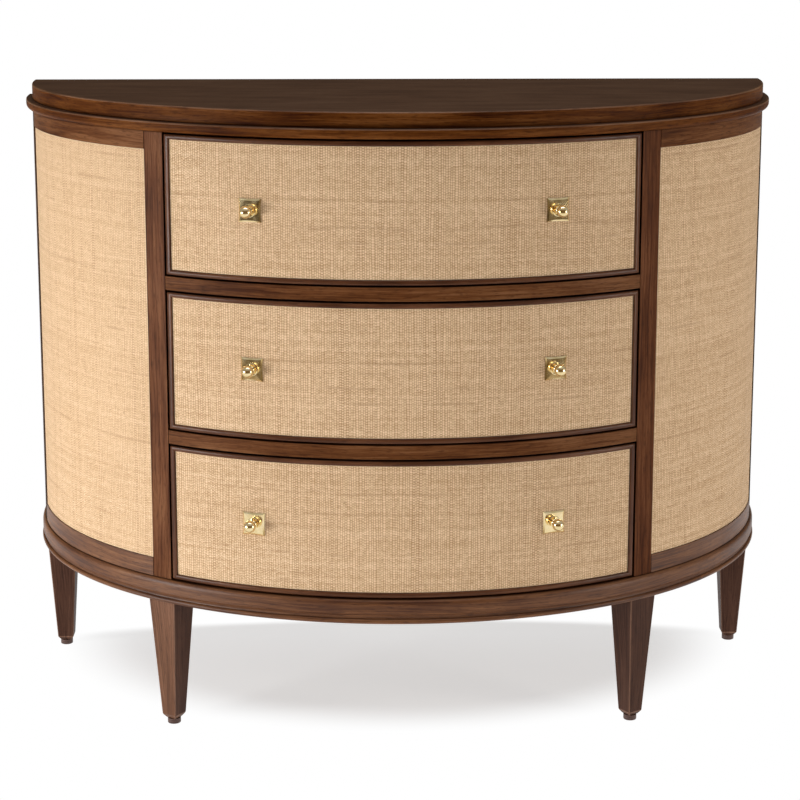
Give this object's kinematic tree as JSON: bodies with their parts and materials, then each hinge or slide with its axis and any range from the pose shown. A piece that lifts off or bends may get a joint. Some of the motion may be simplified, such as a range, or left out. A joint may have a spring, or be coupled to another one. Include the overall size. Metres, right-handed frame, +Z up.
{
  "type": "demilune chest of drawers",
  "caption": "Half-round wooden chest with bowed raffia-faced drawers on side runners, raffia side panels, brass knobs and square tapered legs.",
  "frame": {"origin": "on the floor, at the middle of the width and of the depth of the whole chest", "axes": "+X to the right seen from the front, +Y towards the flat back, +Z up; the bowed front faces -Y"},
  "size_m": [1.168, 0.508, 0.9283],
  "materials": {
    "walnut": "dark walnut stain under satin lacquer",
    "raffia": "natural woven raffia, matt",
    "brass": "polished brass",
    "drawer_wood": "light wood under thin lacquer",
    "glide_plastic": "dark brown, matt"
  },
  "bodies": {
    "case": {"top_board": "walnut", "top_moulding": "walnut", "base_moulding": "walnut", "case_bottom": "walnut", "back_panel": "drawer_wood", "front_stile_left": "walnut", "front_stile_right": "walnut", "rear_stile_left": "walnut", "rear_stile_right": "walnut", "side_top_rail_left": "walnut", "side_top_rail_right": "walnut", "side_bottom_rail_left": "walnut", "side_bottom_rail_right": "walnut", "side_panel_left": "raffia", "side_panel_right": "raffia", "inner_partition_left": "drawer_wood", "inner_partition_right": "drawer_wood", "drawer_divider_lower": "walnut", "drawer_divider_upper": "walnut", "drawer_runner_lower_left": "drawer_wood", "drawer_runner_lower_right": "drawer_wood", "drawer_runner_middle_left": "drawer_wood", "drawer_runner_middle_right": "drawer_wood", "drawer_runner_upper_left": "drawer_wood", "drawer_runner_upper_right": "drawer_wood", "leg_front_left": "walnut", "leg_front_right": "walnut", "leg_rear_left": "walnut", "leg_rear_right": "walnut", "glide_front_left": "glide_plastic", "glide_front_right": "glide_plastic", "glide_rear_left": "glide_plastic", "glide_rear_right": "glide_plastic"},
    "drawer_lower": {"drawer_lower_front": "walnut", "drawer_lower_raffia": "raffia", "drawer_lower_bead": "walnut", "drawer_lower_side_left": "drawer_wood", "drawer_lower_side_right": "drawer_wood", "drawer_lower_back": "drawer_wood", "drawer_lower_bottom": "drawer_wood", "drawer_lower_knob_left": "brass", "drawer_lower_knob_right": "brass"},
    "drawer_middle": {"drawer_middle_front": "walnut", "drawer_middle_raffia": "raffia", "drawer_middle_bead": "walnut", "drawer_middle_side_left": "drawer_wood", "drawer_middle_side_right": "drawer_wood", "drawer_middle_back": "drawer_wood", "drawer_middle_bottom": "drawer_wood", "drawer_middle_knob_left": "brass", "drawer_middle_knob_right": "brass"},
    "drawer_upper": {"drawer_upper_front": "walnut", "drawer_upper_raffia": "raffia", "drawer_upper_bead": "walnut", "drawer_upper_side_left": "drawer_wood", "drawer_upper_side_right": "drawer_wood", "drawer_upper_back": "drawer_wood", "drawer_upper_bottom": "drawer_wood", "drawer_upper_knob_left": "brass", "drawer_upper_knob_right": "brass"}
  },
  "joints": [
    {"name": "drawer_lower_slide", "type": "slide", "parent": "case", "child": "drawer_lower", "axis": [0, -1, 0], "range_m": [0, 0.27]},
    {"name": "drawer_middle_slide", "type": "slide", "parent": "case", "child": "drawer_middle", "axis": [0, -1, 0], "range_m": [0, 0.27]},
    {"name": "drawer_upper_slide", "type": "slide", "parent": "case", "child": "drawer_upper", "axis": [0, -1, 0], "range_m": [0, 0.27]}
  ]
}
